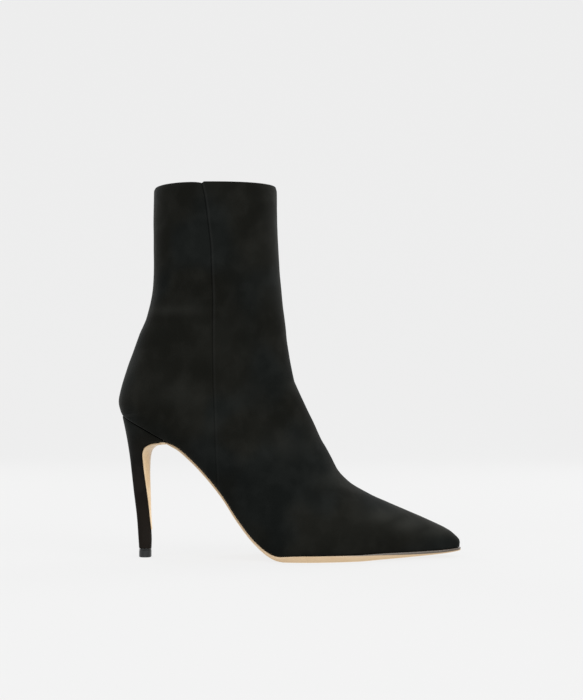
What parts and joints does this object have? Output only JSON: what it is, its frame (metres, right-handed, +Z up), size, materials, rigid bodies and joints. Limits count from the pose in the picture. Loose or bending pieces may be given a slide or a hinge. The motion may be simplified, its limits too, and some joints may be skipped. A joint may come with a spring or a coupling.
{
  "type": "stiletto ankle bootie",
  "caption": "Black suede ankle bootie with a pointed toe, a slim high heel and a thin tan leather sole that runs down the heel breast.",
  "frame": {"origin": "on the floor, under the middle of the bootie's length and width, with the bootie standing on heel tip and forefoot", "axes": "+X to the toe, +Y to the inner side of the right foot, +Z up"},
  "size_m": [0.2407, 0.0817, 0.2591],
  "materials": {
    "suede": "matt napped suede",
    "sole_leather": "smooth semi-gloss",
    "lining_leather": "smooth matt",
    "tip_black": "hard satin"
  },
  "bodies": {
    "root": {"upper": "suede", "outsole": "sole_leather", "insole": "lining_leather", "heel": "suede", "top_piece": "tip_black"}
  },
  "joints": []
}
